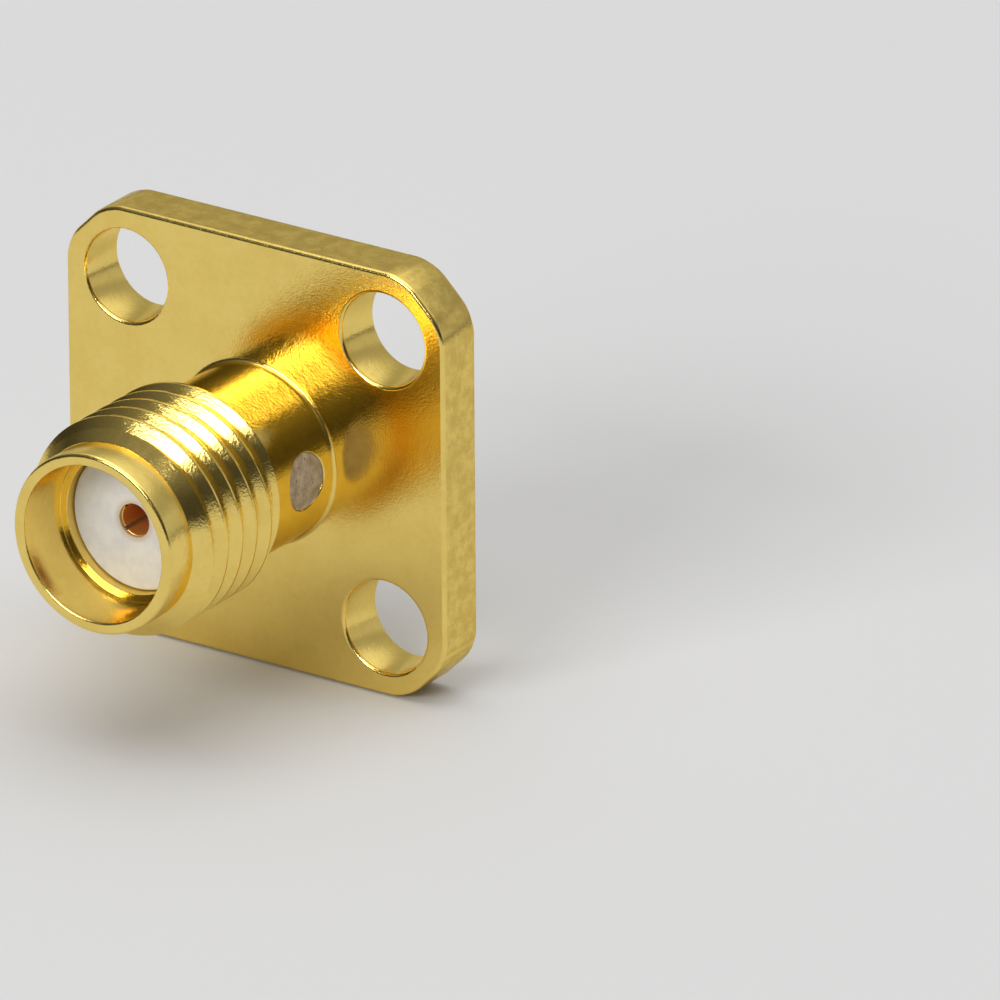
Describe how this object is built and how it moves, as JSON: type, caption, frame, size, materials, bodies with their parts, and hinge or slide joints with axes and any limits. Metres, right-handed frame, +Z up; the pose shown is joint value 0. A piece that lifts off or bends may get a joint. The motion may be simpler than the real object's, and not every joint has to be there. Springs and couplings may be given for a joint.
{
  "type": "sma connector",
  "caption": "Gold-plated coaxial panel jack: square screw flange, threaded barrel around a slotted socket, and a plastic spigot with a flat solder tab.",
  "frame": {"origin": "centre of the flange's rear face, which seats on the panel", "axes": "+Y along the connector's axis out of the rear, towards the solder tab; -Y out of the threaded mouth; +Z up, across two flange sides; +X towards the epoxy-filled hole"},
  "size_m": [0.0126, 0.0147, 0.0126],
  "materials": {
    "plated_body": "satin gold plating over turned and milled brass",
    "insulator": "waxy white PTFE",
    "plated_contact": "gold plating over a copper alloy",
    "epoxy": "cured pinkish grey epoxy"
  },
  "bodies": {
    "root": {"body": "plated_body", "insulator": "insulator", "centre_contact": "plated_contact", "epoxy_plug": "epoxy"}
  },
  "joints": []
}
